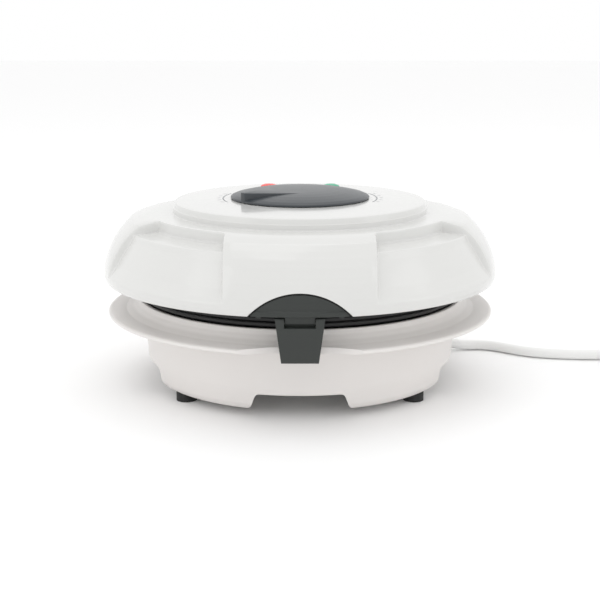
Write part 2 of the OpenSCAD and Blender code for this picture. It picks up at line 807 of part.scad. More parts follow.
base_shell();
bottom_cover();
bottom_cover_screws();
rubber_feet();
lower_plate();
lower_plate_screws();
lower_element();
lower_element_clips();
lower_shield();
shield_spacers();
terminal_block();
terminal_screws();
earth_terminal();
cord_clamp();
cord_clamp_screws();
base_wiring();
hinge_pins();
cord_gland();
power_cord();
cord_coil();
cord_tail();
cord_tie();
plug_body();
plug_pins();
lid_shell();
grip_insert();
grip_screws();
latch_pin();
upper_plate();
upper_plate_screws();
upper_element();
upper_element_clips();
upper_shield();
upper_shield_posts();
thermostat_body();
thermostat_bracket();
thermostat_nut();
thermal_fuse();
fuse_clip();
red_lens();
green_lens();
indicator_lamps();
lamp_holder();
lid_wiring();
thermostat_knob();
thermostat_shaft();
knob_clip();
latch_lever();
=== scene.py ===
import json
import math

import bmesh
import bpy
import numpy as np
from mathutils import Matrix, Vector


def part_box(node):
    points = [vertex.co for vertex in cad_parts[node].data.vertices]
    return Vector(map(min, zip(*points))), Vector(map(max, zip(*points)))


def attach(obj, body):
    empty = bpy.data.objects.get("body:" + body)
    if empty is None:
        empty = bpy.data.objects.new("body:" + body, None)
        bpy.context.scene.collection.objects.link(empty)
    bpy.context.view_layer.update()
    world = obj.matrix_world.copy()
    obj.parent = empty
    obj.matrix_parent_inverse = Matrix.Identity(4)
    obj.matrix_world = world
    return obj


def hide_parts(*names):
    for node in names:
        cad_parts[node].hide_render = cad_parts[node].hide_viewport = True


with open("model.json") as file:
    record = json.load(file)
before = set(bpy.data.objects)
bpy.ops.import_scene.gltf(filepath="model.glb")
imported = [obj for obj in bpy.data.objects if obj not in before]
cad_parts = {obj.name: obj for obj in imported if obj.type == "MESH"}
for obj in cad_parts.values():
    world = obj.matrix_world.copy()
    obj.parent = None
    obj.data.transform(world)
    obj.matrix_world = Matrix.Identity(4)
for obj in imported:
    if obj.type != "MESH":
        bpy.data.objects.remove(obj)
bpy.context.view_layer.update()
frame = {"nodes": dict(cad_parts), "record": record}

MM = 0.001
FRONT_ARCH = (28.0, 24.8, 15.1)  # half width at the bottom, at the top, and height, in mm
SIDE_ARCH = (40.5, 43.0, 17.0)
plate_low, plate_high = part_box("lower_plate")
AXIS_Y = (plate_low[1] + plate_high[1]) / 2  # the lid's axis in the frame


def at(x, y, z):
    """A point given in mm from the lid's axis, in the frame's metres."""
    return Vector((x * MM, y * MM + AXIS_Y, z * MM))


# ---------------------------------------------------------------- materials


def node(tree, kind, **values):
    made = tree.nodes.new(kind)
    for name, value in values.items():
        if hasattr(made, name):
            setattr(made, name, value)
        else:
            made.inputs[name.replace("_", " ")].default_value = value
    return made


def finish_of(name, colour, rough, metal=0.0, grain=900.0, bump=0.1, depth=0.00012, blotch=22.0, tint=0.03,
              spread=0.05, coat=0.0, clear=0.0, glow=0.0, scratch=0.0):
    """A procedural finish: two scales of noise drive colour, roughness and bump."""
    made = bpy.data.materials.new(name)
    made.use_nodes = True
    tree = made.node_tree
    link = tree.links.new
    bsdf = tree.nodes["Principled BSDF"]
    place = node(tree, "ShaderNodeTexCoord")
    fine = node(tree, "ShaderNodeTexNoise", Scale=grain, Detail=4.0, Roughness=0.55)
    wide = node(tree, "ShaderNodeTexNoise", Scale=blotch, Detail=3.0, Roughness=0.6)
    link(place.outputs["Object"], fine.inputs["Vector"])
    link(place.outputs["Object"], wide.inputs["Vector"])
    mix = node(tree, "ShaderNodeMix", data_type="RGBA")
    mix.inputs[6].default_value = [c * (1 - tint) for c in colour] + [1]
    mix.inputs[7].default_value = [min(1, c * (1 + tint)) for c in colour] + [1]
    link(wide.outputs["Fac"], mix.inputs[0])
    link(mix.outputs[2], bsdf.inputs["Base Color"])
    both = node(tree, "ShaderNodeMath", operation="MULTIPLY")
    link(wide.outputs["Fac"], both.inputs[0])
    link(fine.outputs["Fac"], both.inputs[1])
    level = node(tree, "ShaderNodeMapRange")
    level.inputs["From Min"].default_value = 0.1
    level.inputs["From Max"].default_value = 0.45
    level.inputs["To Min"].default_value = max(0.02, rough - spread)
    level.inputs["To Max"].default_value = rough + spread
    link(both.outputs[0], level.inputs["Value"])
    link(level.outputs["Result"], bsdf.inputs["Roughness"])
    height = fine.outputs["Fac"]
    if scratch:
        lines = node(tree, "ShaderNodeTexNoise", Scale=scratch, Detail=5.0, Roughness=0.7)
        squeeze = node(tree, "ShaderNodeMapping")
        squeeze.inputs["Scale"].default_value = (1, 14, 14)
        link(place.outputs["Object"], squeeze.inputs["Vector"])
        link(squeeze.outputs["Vector"], lines.inputs["Vector"])
        total = node(tree, "ShaderNodeMath", operation="ADD")
        link(height, total.inputs[0])
        link(lines.outputs["Fac"], total.inputs[1])
        height = total.outputs[0]
    relief = node(tree, "ShaderNodeBump", Strength=bump, Distance=depth)
    link(height, relief.inputs["Height"])
    link(relief.outputs["Normal"], bsdf.inputs["Normal"])
    bsdf.inputs["Metallic"].default_value = metal
    bsdf.inputs["Coat Weight"].default_value = coat
    bsdf.inputs["Coat Roughness"].default_value = 0.06
    bsdf.inputs["Transmission Weight"].default_value = clear
    if glow:
        link(mix.outputs[2], bsdf.inputs["Emission Color"])
        bsdf.inputs["Emission Strength"].default_value = glow
    return made


LOOKS = {
    "lid_plastic": finish_of("lid_gloss", (0.70, 0.70, 0.685), 0.2, grain=420, bump=0.05, depth=0.00005,
                             tint=0.012, spread=0.05, coat=0.35),
    "base_plastic": finish_of("base_satin", (0.77, 0.742, 0.722), 0.42, grain=1500, bump=0.16, depth=0.00006,
                              tint=0.015, coat=0.08),
    "cover_plastic": finish_of("cover_satin", (0.60, 0.59, 0.57), 0.5, grain=1300, bump=0.2, depth=0.00008),
    "grip_plastic": finish_of("grip_matt", (0.024, 0.028, 0.0255), 0.44, grain=1700, bump=0.35, depth=0.00008,
                              tint=0.08),
    "knob_plastic": finish_of("knob_slate", (0.040, 0.047, 0.054), 0.38, grain=1900, bump=0.3, depth=0.00006,
                              tint=0.06, coat=0.12),
    "foot_rubber": finish_of("foot_rubber", (0.02, 0.02, 0.02), 0.75, grain=1100, bump=0.4, tint=0.15),
    "plate_metal": finish_of("plate_coating", (0.006, 0.006, 0.0065), 0.5, grain=2600, bump=0.35, depth=0.00005,
                             tint=0.2),
    "screw_steel": finish_of("screw_steel", (0.55, 0.55, 0.56), 0.32, metal=1.0, grain=1800, scratch=300),
    "element_steel": finish_of("element_steel", (0.30, 0.27, 0.25), 0.45, metal=1.0, grain=900, tint=0.2),
    "shield_metal": finish_of("shield_metal", (0.66, 0.66, 0.67), 0.3, metal=1.0, grain=1200, scratch=180),
    "terminal_ceramic": finish_of("ceramic", (0.78, 0.75, 0.68), 0.55, grain=1400, bump=0.25),
    "contact_brass": finish_of("brass", (0.72, 0.52, 0.22), 0.28, metal=1.0, grain=1500, scratch=260),
    "cord_white": finish_of("cord_white", (0.86, 0.86, 0.85), 0.48, grain=1100, bump=0.12, tint=0.02),
    "plug_white": finish_of("plug_white", (0.79, 0.79, 0.775), 0.44, grain=1300, bump=0.15, tint=0.02),
    "pin_metal": finish_of("pin_metal", (0.78, 0.77, 0.74), 0.2, metal=1.0, grain=1600, scratch=320),
    "tie_plastic": finish_of("tie_plastic", (0.70, 0.70, 0.69), 0.5, grain=1500, bump=0.3),
    "wire_sleeve": finish_of("wire_sleeve", (0.62, 0.60, 0.55), 0.7, grain=2400, bump=0.5, tint=0.06),
    "fuse_gold": finish_of("fuse_gold", (0.60, 0.45, 0.18), 0.3, metal=1.0, grain=1400),
    "red_lens": finish_of("red_lens", (0.78, 0.045, 0.035), 0.16, grain=1200, bump=0.06, coat=0.5, glow=0.12),
    "green_lens": finish_of("green_lens", (0.03, 0.36, 0.20), 0.16, grain=1200, bump=0.06, coat=0.5, glow=0.1),
    "lamp_glass": finish_of("lamp_glass", (0.85, 0.85, 0.85), 0.08, grain=900, bump=0.03, clear=0.8),
}
INK = finish_of("scale_ink", (0.33, 0.34, 0.35), 0.5, grain=1500, bump=0.2, tint=0.08)
SHADE = finish_of("gap_shade", (0.012, 0.012, 0.012), 0.7, grain=1500, bump=0.2, tint=0.1)

for part in frame["record"]["subparts"]:
    thing = frame["nodes"][part["node"]]
    if not thing.material_slots:
        thing.data.materials.append(None)
    for held in thing.material_slots:
        held.material = LOOKS[part["material_slot"]]


# ---------------------------------------------------------------- camera, floor and light

scene = bpy.context.scene
lens = bpy.data.cameras.new("camera")
lens.lens = 73.3
camera = bpy.data.objects.new("camera", lens)
camera.location = (0, -0.74935, 0.2191)
camera.rotation_euler = (math.radians(77.07), 0, 0)
scene.collection.objects.link(camera)
scene.camera = camera

world = bpy.data.worlds.new("studio")
world.use_nodes = True
world.node_tree.nodes["Background"].inputs["Color"].default_value = (1, 1, 1, 1)
world.node_tree.nodes["Background"].inputs["Strength"].default_value = 1.0
scene.world = world
scene.view_settings.view_transform = "Standard"


def softbox(name, place, aim, size, power):
    lamp = bpy.data.lights.new(name, "AREA")
    lamp.shape = "RECTANGLE"
    lamp.size, lamp.size_y = size
    lamp.energy = power
    made = bpy.data.objects.new(name, lamp)
    made.location = place
    made.rotation_euler = (Vector(aim) - Vector(place)).to_track_quat("-Z", "Y").to_euler()
    scene.collection.objects.link(made)


softbox("light_top", (-0.1, 0.1, 1.5), (0, 0, 0.05), (1.4, 1.0), 3.2)
softbox("light_left", (-1.2, -0.7, 0.7), (0, 0, 0.06), (0.7, 0.9), 1.0)
softbox("light_right", (1.3, -0.4, 0.6), (0, 0, 0.06), (0.6, 0.8), 0.9)

floor_mesh = bpy.data.meshes.new("floor")
floor_mesh.from_pydata([(-4, -3, 0), (4, -3, 0), (4, 6, 0), (-4, 6, 0)], [], [(0, 1, 2, 3)])
floor = bpy.data.objects.new("floor", floor_mesh)
floor_mesh.materials.append(finish_of("floor_paper", (0.97, 0.97, 0.97), 0.9, grain=300, bump=0.02, tint=0.004))
scene.collection.objects.link(floor)


# ---------------------------------------------------------------- mesh helpers


def put(name, mesh, look, body, *nodes):
    """Links a new piece, gives it its finish and its body, and hides the CAD nodes it stands for."""
    made = bpy.data.objects.new(name, mesh)
    scene.collection.objects.link(made)
    if not mesh.materials:
        mesh.materials.append(LOOKS[look])
    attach(made, body)
    if nodes:
        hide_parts(*nodes)
    return made


def soften(mesh, angle=32):
    mesh.shade_smooth()
    mesh.set_sharp_from_angle(angle=math.radians(angle))


def joined(*parts):
    """One mesh of several bmeshes."""
    total = bmesh.new()
    for part in parts:
        held = bpy.data.meshes.new("part")
        part.to_mesh(held)
        part.free()
        total.from_mesh(held)
        bpy.data.meshes.remove(held)
    return total


def loaded(mesh):
    """A bmesh of a mesh."""
    bm = bmesh.new()
    bm.from_mesh(mesh)
    return bm


def to_mesh(bm, name, angle=32):
    bmesh.ops.recalc_face_normals(bm, faces=bm.faces)
    mesh = bpy.data.meshes.new(name)
    bm.to_mesh(mesh)
    bm.free()
    soften(mesh, angle)
    return mesh


def rounded(points, radii, steps=5):
    """The corners of an open outline, each turned into a small arc."""
    made = [Vector(points[0])]
    for i in range(1, len(points) - 1):
        a, b, c = (Vector(points[j]) for j in (i - 1, i, i + 1))
        radius = radii[i] if isinstance(radii, (list, tuple)) else radii
        into, out = (b - a), (c - b)
        turn = into.angle(out) if into.length > 1e-9 and out.length > 1e-9 else 0
        if radius <= 0 or turn < 0.03:
            made.append(b)
            continue
        reach = min(radius * math.tan(turn / 2), into.length * 0.48, out.length * 0.48)
        p, q = b - into.normalized() * reach, b + out.normalized() * reach
        for k in range(steps + 1):
            t = k / steps
            made.append(p * (1 - t) ** 2 + b * (2 * t * (1 - t)) + q * t * t)
    made.append(Vector(points[-1]))
    return [(p.x, p.y) for p in made]


def spread(line, count):
    """count points at even steps along a line."""
    line = np.array(line, float)
    run = np.concatenate([[0], np.cumsum(np.hypot(*np.diff(line, axis=0).T))])
    want = np.linspace(0, run[-1], count)
    return np.column_stack([np.interp(want, run, line[:, 0]), np.interp(want, run, line[:, 1])])


def quad(bm, *verts):
    """A face of the verts, each taken once, or none where fewer than three are left."""
    corners = list(dict.fromkeys(verts))
    if len(corners) > 2:
        bm.faces.new(corners)


def turned(profile, columns):
    """A bmesh of an outline (r, z) in mm turned round the lid's axis. A point at r 0 makes a cap."""
    bm = bmesh.new()
    rings = []
    for r, z in profile:
        if r < 1e-6:
            rings.append([bm.verts.new(at(0, 0, z))] * columns)
        else:
            rings.append([bm.verts.new(at(r * math.cos(2 * math.pi * i / columns),
                                          r * math.sin(2 * math.pi * i / columns), z))
                          for i in range(columns)])
    for low, high in zip(rings, rings[1:]):
        for i in range(columns):
            j = (i + 1) % columns
            quad(bm, low[i], low[j], high[j], high[i])
    return bm


def tube(bm, rows):
    """Faces between rows of verts, each a closed section, with a cap at both ends."""
    for one, two in zip(rows, rows[1:]):
        for k in range(len(one)):
            j = (k + 1) % len(one)
            bm.faces.new([one[k], one[j], two[j], two[k]])
    bm.faces.new(rows[0])
    bm.faces.new(list(reversed(rows[-1])))


def part_turned(start, end, section, count=40):
    """A section (r, z) in mm turned from start to end, in degrees, and closed at both ends."""
    bm = bmesh.new()
    rows = []
    for k in range(count + 1):
        a = math.radians(start + (end - start) * k / count)
        rows.append([bm.verts.new(at(r * math.cos(a), r * math.sin(a), z)) for r, z in section])
    tube(bm, rows)
    return bm


def slab(outline, low, high, plane="x", bevel=0.5, segments=3):
    """A bevelled prism of an outline in mm. plane x takes (y, z), plane y takes (x, z), plane z takes (x, y)."""
    bm = bmesh.new()
    order = {"x": lambda a, b, c: at(c, a, b),
             "y": lambda a, b, c: at(a, c, b),
             "z": lambda a, b, c: at(a, b, c)}[plane]
    one = [bm.verts.new(order(a, b, low)) for a, b in outline]
    two = [bm.verts.new(order(a, b, high)) for a, b in outline]
    bm.faces.new(one)
    bm.faces.new(list(reversed(two)))
    for i in range(len(one)):
        j = (i + 1) % len(one)
        bm.faces.new([one[i], two[i], two[j], one[j]])
    bmesh.ops.recalc_face_normals(bm, faces=bm.faces)
    if bevel:
        edges = [e for e in bm.edges if e.calc_face_angle(0) > 0.5]
        bmesh.ops.bevel(bm, geom=edges, offset=bevel * MM, segments=segments, profile=0.6, affect="EDGES",
                        clamp_overlap=True)
    return bm


def rod(start, end, radius, count=32, bevel=0.4):
    """A bevelled rod between two points in mm."""
    a, b = at(*start), at(*end)
    bm = bmesh.new()
    way = b - a
    bmesh.ops.create_cone(bm, cap_ends=True, segments=count, radius1=radius * MM, radius2=radius * MM,
                          depth=way.length)
    if bevel:
        edges = [e for e in bm.edges if e.calc_face_angle(0) > 1]
        bmesh.ops.bevel(bm, geom=edges, offset=bevel * MM, segments=3, profile=0.5, affect="EDGES")
    turn = way.to_track_quat("Z", "Y").to_matrix().to_4x4()
    bmesh.ops.transform(bm, matrix=Matrix.Translation((a + b) / 2) @ turn, verts=bm.verts)
    return bm


def cut(mesh, cutter):
    """mesh without what lies in cutter, a bmesh."""
    a = bpy.data.objects.new("cut_a", mesh)
    held = bpy.data.meshes.new("cut_b")
    bmesh.ops.recalc_face_normals(cutter, faces=cutter.faces)
    cutter.to_mesh(held)
    cutter.free()
    b = bpy.data.objects.new("cut_b", held)
    for thing in (a, b):
        scene.collection.objects.link(thing)
    step = a.modifiers.new("cut", "BOOLEAN")
    step.operation, step.solver, step.object = "DIFFERENCE", "EXACT", b
    made = bpy.data.meshes.new_from_object(a.evaluated_get(bpy.context.evaluated_depsgraph_get()))
    bpy.data.objects.remove(a)
    bpy.data.objects.remove(b)
    bpy.data.meshes.remove(held)
    return made


# ---------------------------------------------------------------- cord

LEAD_TILT = math.radians(15)  # the lead leaves the base pointing down by this much
LEAD_RADIUS = 3.2
COIL_X, COIL_Y = 240, -8
TURNS = 3.25
FLAT_TURNS = 2  # turns lying on the table, before the lead climbs over them
LAYER = (3.9, 10.4)  # height of the lead's middle in the lower and the upper layer
PITCH = 6.6  # from one turn to the next


def on_lead(along):
    """A point on the line by which the lead leaves the base."""
    return (73.1 + math.cos(LEAD_TILT) * along, 58, 13 - math.sin(LEAD_TILT) * along)


GLAND_END = on_lead(30)
route = [
    (99.6, 58, 5.9), GLAND_END, (105.5, 58.1, 4.5), (109, 58.4, 3.9), (114, 59, 3.4), (120, 59.4, 3.3),
    (126, 58.6, 3.3), (131.5, 56.2, 3.3), (136.5, 52.8, 3.3), (141.5, 48.8, 3.3), (147, 44.8, 3.3), (153, 41.5, 3.3),
    (160, 38.8, 3.3), (168, 36.8, 3.3), (178, 35.3, 3.3), (190, 34.3, 3.4), (205, 33.8, 3.7), (222, 33.7, 3.9)]
PER_TURN = 24
coil = []
for k in range(int(TURNS * PER_TURN) + 1):
    t = k / PER_TURN
    if t <= FLAT_TURNS:
        r, z = 41.7 - PITCH * t, LAYER[0]
    elif t <= FLAT_TURNS + 0.25:
        ease = (t - FLAT_TURNS) / 0.25
        r, z = 28.5, LAYER[0] + (LAYER[1] - LAYER[0]) * ease * ease * (3 - 2 * ease)
    else:
        r, z = 28.5 + PITCH * (t - FLAT_TURNS - 0.25), LAYER[1]
    angle = math.radians(90 - 360 * t)
    coil.append((COIL_X + r * math.cos(angle), COIL_Y + r * math.sin(angle), z))
tail = [(275.1, -14, 10.4), (275.1, -22, 10.4), (275.1, -31, 10.3), (275.1, -36, 9.4), (275.1, -41, 7.9),
        (275.1, -46, 6.5), (275.1, -51, 5.7), (275.1, -55, 5.6), (275.1, -59, 6)]
lead = bpy.data.curves.new("cord", "CURVE")
lead.dimensions = "3D"
lead.resolution_u = 6
lead.bevel_depth = LEAD_RADIUS * MM
lead.bevel_resolution = 6
lead.use_fill_caps = True
line = lead.splines.new("BEZIER")
stops = [at(*p) for p in route + coil + tail]
line.bezier_points.add(len(stops) - 1)
for stop, p in zip(line.bezier_points, stops):
    stop.co = p
    stop.handle_left_type = stop.handle_right_type = "AUTO"
lead.materials.append(LOOKS["cord_white"])
cord = bpy.data.objects.new("cord", lead)
scene.collection.objects.link(cord)
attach(cord, "base")
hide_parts("power_cord", "cord_coil", "cord_tail")


def hull(points):
    """The convex outline of points in a plane, anticlockwise."""
    points = sorted(set(points))
    sides = []
    for order in (points, points[::-1]):
        chain = []
        for p in order:
            while len(chain) > 1 and ((chain[-1][0] - chain[-2][0]) * (p[1] - chain[-2][1])
                                      - (chain[-1][1] - chain[-2][1]) * (p[0] - chain[-2][0])) <= 0:
                chain.pop()
            chain.append(p)
        sides += chain[:-1]
    return sides


# the tie's section follows the three turns that pass through it
turns_at_tie = [(37.1, LAYER[0]), (30.5, LAYER[0]), (31.4, LAYER[1])]
tie_mesh = bmesh.new()
loops = []
for radius, across in ((3.3, -4), (3.85, -3.6), (3.85, 3.6), (3.3, 4)):
    ring = hull([(round(r + radius * math.cos(math.radians(a)), 4),
                  round(z + radius * math.sin(math.radians(a)), 4))
                 for r, z in turns_at_tie for a in range(0, 360, 12)])
    loops.append((ring, across))
spoke = math.radians(200)
count = 90
rings = []
for ring, across in loops:
    line = spread(ring + ring[:1], count + 1)[:-1]
    rings.append([tie_mesh.verts.new(at(COIL_X + r * math.cos(spoke) - across * math.sin(spoke),
                                        COIL_Y + r * math.sin(spoke) + across * math.cos(spoke), max(z, 0.12)))
                  for r, z in line])
for one, two in zip(rings, rings[1:] + rings[:1]):
    for i in range(count):
        j = (i + 1) % count
        tie_mesh.faces.new([one[i], one[j], two[j], two[i]])
tie = put("lead_tie", to_mesh(tie_mesh, "lead_tie", 40), "tie_plastic", "base", "cord_tie")

# ---------------------------------------------------------------- lid

crown = rounded([(0, 112.9), (20, 112.85), (52, 112.6), (64, 112.2), (76.2, 111.7), (77.2, 108.6), (77.55, 108.2),
                 (77.8, 105.1), (80.5, 105.0), (90.4, 105.2)],
                [0, 4, 4, 4, 1.1, 0.5, 0.5, 0.8, 0.8, 0], 6)
panel = rounded([(90.4, 105.2), (91.9, 105.15), (92.3, 98.7), (96, 97.9), (105, 96.6), (106.6, 93.0), (108.7, 89.6),
                 (111.7, 84.5), (114.8, 78.8), (118, 73.9), (119.8, 71.6), (120, 68.6), (119.3, 66.2)],
                [0, 0.9, 1.2, 3, 1.1, 3, 4, 8, 8, 5, 2.5, 1.5, 0], 7)
petal = rounded([(90.4, 105.2), (92.5, 105.0), (97, 104.2), (103.2, 102.2), (106.6, 98.8), (110.2, 94.8), (113, 90.8),
                 (115.3, 86.4), (117, 82.8), (118.2, 79.4), (119.4, 75.2), (120, 71.4), (120, 68.6), (119.3, 66.2)],
                [0, 0.8, 3, 1.5, 5, 5, 5, 6, 6, 6, 6, 3, 1.5, 0], 7)
closing = [(118.9, 65.75), (117.6, 65.75), (110, 65.0), (102.2, 64.2), (99.7, 61.7), (95.9, 61.5), (95.8, 63.5),
           (98.6, 63.7), (101.2, 66.3), (110, 67.2), (116.4, 68), (116.6, 70), (113.5, 73.6), (109.5, 80),
           (106.4, 86.5), (103.6, 91.8), (90.4, 94), (89.6, 102.4), (75.8, 102.6), (75, 109.4), (0, 109.9)]
OUTER = 84
panel_line, petal_line = spread(panel, OUTER), spread(petal, OUTER)

PETAL_HALF = 41.8  # half the width between the parallel side walls of a petal, in mm
angles = set(np.round(np.arange(0, 360, 1.0), 3))
for middle in (0, 90, 180, 270):
    for side in (-1, 1):
        for offset in np.arange(18.6, 29.6, 0.22):
            angles.add(round((middle + side * offset) % 360, 3))
angles = sorted(angles)


def petal_share(angle, radius):
    """0 on a panel, 1 on a petal, with a tight foot and a broad rounded shoulder between them."""
    off = abs((angle + 45) % 90 - 45)
    inside = PETAL_HALF - radius * math.sin(math.radians(off))
    steep = np.clip((inside + 1.1) / 2.4, 0, 1)
    easy = np.clip((inside + 1.1) / 7.0, 0, 1)
    return (0.84 * steep * steep * (3 - 2 * steep) + 0.16 * easy * easy * (3 - 2 * easy))[:, None]


def lid_column(angle):
    share = petal_share(angle, (panel_line[:, 0] + petal_line[:, 0]) / 2)
    outer = panel_line * (1 - share) + petal_line * share
    return list(crown[:-1]) + [tuple(p) for p in outer] + closing


grid = bmesh.new()
top = grid.verts.new(at(0, 0, crown[0][1]))
inner_top = grid.verts.new(at(0, 0, closing[-1][1]))
walls = []
for angle in angles:
    c, s = math.cos(math.radians(angle)), math.sin(math.radians(angle))
    walls.append([top] + [grid.verts.new(at(r * c, r * s, z)) for r, z in lid_column(angle)[1:-1]] + [inner_top])
for one, two in zip(walls, walls[1:] + walls[:1]):
    for k in range(len(one) - 1):
        quad(grid, one[k], one[k + 1], two[k + 1], two[k])
skin = to_mesh(grid, "lid_skin")

HINGE_Y, HINGE_Z = 126, 58
GRIP_R = (28 ** 2 + 13 ** 2) / 26  # radius of the grip's half-round outline
GRIP_Z = 78.9 - GRIP_R  # height of its centre


def barrel(start, end, radius, bevel=0.7):
    """A rod on the hinge's axis, from one x to another."""
    return rod((start, HINGE_Y, HINGE_Z), (end, HINGE_Y, HINGE_Z), radius, 48, bevel)


def grip_arc(radius, floor, count=48):
    """The half-round outline of the grip in x and z, closed along floor."""
    half = math.acos(max(-1, min(1, (floor - GRIP_Z) / radius)))
    return [(radius * math.sin(half * (2 * k / count - 1)), GRIP_Z + radius * math.cos(half * (2 * k / count - 1)))
            for k in range(count + 1)]


cutters = joined(slab(grip_arc(GRIP_R, 61), -126, -112, "y", 0), rod((0, 0, 99), (0, 0, 120), 4.6, 32, 0),
                 rod((-20.2, 52, 99), (-20.2, 52, 120), 3.5, 24, 0), rod((20.2, 52, 99), (20.2, 52, 120), 3.5, 24, 0))
skin = cut(skin, cutters)
arm = [(114.5, 66.6), (114.5, 72), (119.4, 74.5), (131, 62), (132, 57), (126, 51.8), (120.5, 56), (117.8, 65)]
arm = rounded(arm + arm[:1], 1.2, 3)[:-1]
hinge = joined(*[slab(arm, a, b, "x", 0.7) for a, b in ((24.4, 31), (-31, -24.4), (4, 14))],
               barrel(24.4, 31, 6.5), barrel(-31, -24.4, 6.5), barrel(0.4, 14, 6.2, 0.5))
put("lid_cover", to_mesh(joined(loaded(skin), hinge), "lid_cover", 38), "lid_plastic", "lid", "lid_shell")


def printed(inner, outer, z, start, end, count=40):
    """A thin printed arc on the lid."""
    lift = 0.14
    return part_turned(start, end, [(inner, z), (inner, z + lift), (outer, z + lift), (outer, z)], count)


marks = joined(*[printed(46.6, 47.5, 112.55, a, b) for a, b in ((157, 203), (-22, 24))],
               *[printed(48.6, 50.8, 112.5, a, a + 1.2, 2)
                 for a in (160, 170, 180, 190, 200, -20, -10, 0, 10, 20)])
marks_mesh = to_mesh(marks, "scale_marks")
marks_mesh.materials.append(INK)
put("scale_marks", marks_mesh, "knob_plastic", "lid")

# ---------------------------------------------------------------- knob

dome = rounded([(0, 118.65), (8, 118.6), (18, 118.3), (24, 117.9), (30, 117.2), (35, 116.3), (39.5, 115.3),
                (42.2, 114.2), (42.5, 113.4), (42, 112.85), (40.1, 112.85), (38.5, 113.9), (30, 115.7), (18, 116.8),
                (0, 117.2)],
               [0, 6, 6, 6, 6, 6, 4, 0.8, 0.4, 0.3, 0.4, 1, 4, 6, 0], 4)
knob = turned(dome, 180)
turn = math.radians(36.6)  # the way the pointer points, from the left towards the front
wedge = bmesh.new()
tip, back, wide = -42.3, -6, 19.5
rows = []
for x, half, z in ((tip, 2.2, 113.3), (tip, 2.2, 119.1), (back, wide, 118.0), (back, wide, 115.6)):
    rows.append([wedge.verts.new(at(x * math.cos(turn) - y * math.sin(turn),
                                    x * math.sin(turn) + y * math.cos(turn), z))
                 for y in (-half, half)])
for one, two in zip(rows, rows[1:] + rows[:1]):
    wedge.faces.new([one[0], one[1], two[1], two[0]])
wedge.faces.new([r[0] for r in rows])
wedge.faces.new([r[1] for r in reversed(rows)])
bmesh.ops.recalc_face_normals(wedge, faces=wedge.faces)
bmesh.ops.bevel(wedge, geom=list(wedge.edges), offset=0.5 * MM, segments=3, profile=0.5, affect="EDGES")
hub = cut(to_mesh(rod((0, 0, 115.2), (0, 0, 118), 6.5, 48, 0), "hub"),
          rod((0, 0, 110), (0, 0, 117.25), 3.05, 32, 0))
put("knob_cap", to_mesh(joined(knob, wedge, loaded(hub)), "knob_cap", 30), "knob_plastic", "knob", "thermostat_knob")

# ---------------------------------------------------------------- grip and latch


def grip_face(x, z):
    """How far out the face of the grip stands at a height, in mm from the axis."""
    heights, out = [65, 66.3, 66.8, 68.5, 69.2, 73, 79.4], [119.9, 120.3, 120.6, 120.5, 119.4, 119.2, 117.9]
    return -math.sqrt(max(0, np.interp(z, heights, out) ** 2 - x * x))


plate = bmesh.new()
front_grid = []
LEVELS, ACROSS = 26, 48  # rows and columns of the grip's face
PLATE_LOW, PLATE_HIGH, PLATE_BACK = 66.25, 77.8, -112.2
for j in range(LEVELS + 1):
    z = PLATE_LOW + (PLATE_HIGH - PLATE_LOW) * (j / LEVELS)
    half = math.sqrt(max(0.01, (GRIP_R - 1.0) ** 2 - (z - GRIP_Z) ** 2))
    front_grid.append([(half * (2 * k / ACROSS - 1), z) for k in range(ACROSS + 1)])
fronts = [[plate.verts.new(at(x, grip_face(x, z), z)) for x, z in row] for row in front_grid]
backs = [[plate.verts.new(at(x, PLATE_BACK, z)) for x, z in row] for row in front_grid]
for j in range(LEVELS):
    for k in range(ACROSS):
        plate.faces.new([fronts[j][k], fronts[j][k + 1], fronts[j + 1][k + 1], fronts[j + 1][k]])
        plate.faces.new([backs[j][k], backs[j + 1][k], backs[j + 1][k + 1], backs[j][k + 1]])
for j in range(LEVELS):
    for k in (0, ACROSS):
        plate.faces.new([fronts[j][k], fronts[j + 1][k], backs[j + 1][k], backs[j][k]])
for k in range(ACROSS):
    for j in (0, LEVELS):
        plate.faces.new([fronts[j][k], backs[j][k], backs[j][k + 1], fronts[j][k + 1]])
lug = [(-118.9, 66.6), (-118.9, 62.6), (-118.2, 60.4), (-116.6, 60.1), (-114.9, 61.2), (-114.6, 66.6)]
parts = [plate, slab(rounded(lug + lug[:1], 0.6, 3)[:-1], -8, 8, "x", 0.4)]
for side in (-1, 1):
    stud = [(side * 20.6, 65.2), (side * 23.6, 65.2), (side * 23.2, 66.6), (side * 21, 66.6)]
    parts.append(slab(stud, -117.2, -113.8, "y", 0.3))
grip_mesh = to_mesh(joined(*parts), "grip", 34)
# a thin near-black strip just inside the grip's half-round outline: painted shadow standing for the shade in the gap
# between the grip and the lid, not a real seal
gap_shadow = bmesh.new()
rows = []
for (x0, z0), (x1, z1) in zip(grip_arc(GRIP_R - 0.98, 66.3), grip_arc(GRIP_R - 0.06, 66.3)):
    rows.append([gap_shadow.verts.new(at(x, grip_face(x, z) + inset, z)) for x, z, inset in
                 ((x0, z0, 0.7), (x1, z1, 0.7), (x1, z1, 3.2), (x0, z0, 3.2))])
tube(gap_shadow, rows)
gap_shadow_mesh = to_mesh(gap_shadow, "grip_gap_shadow")
gap_shadow_mesh.materials.append(SHADE)
put("grip_gap_shadow", gap_shadow_mesh, "grip_plastic", "lid")
put("grip_plate", grip_mesh, "grip_plastic", "lid", "grip_insert")

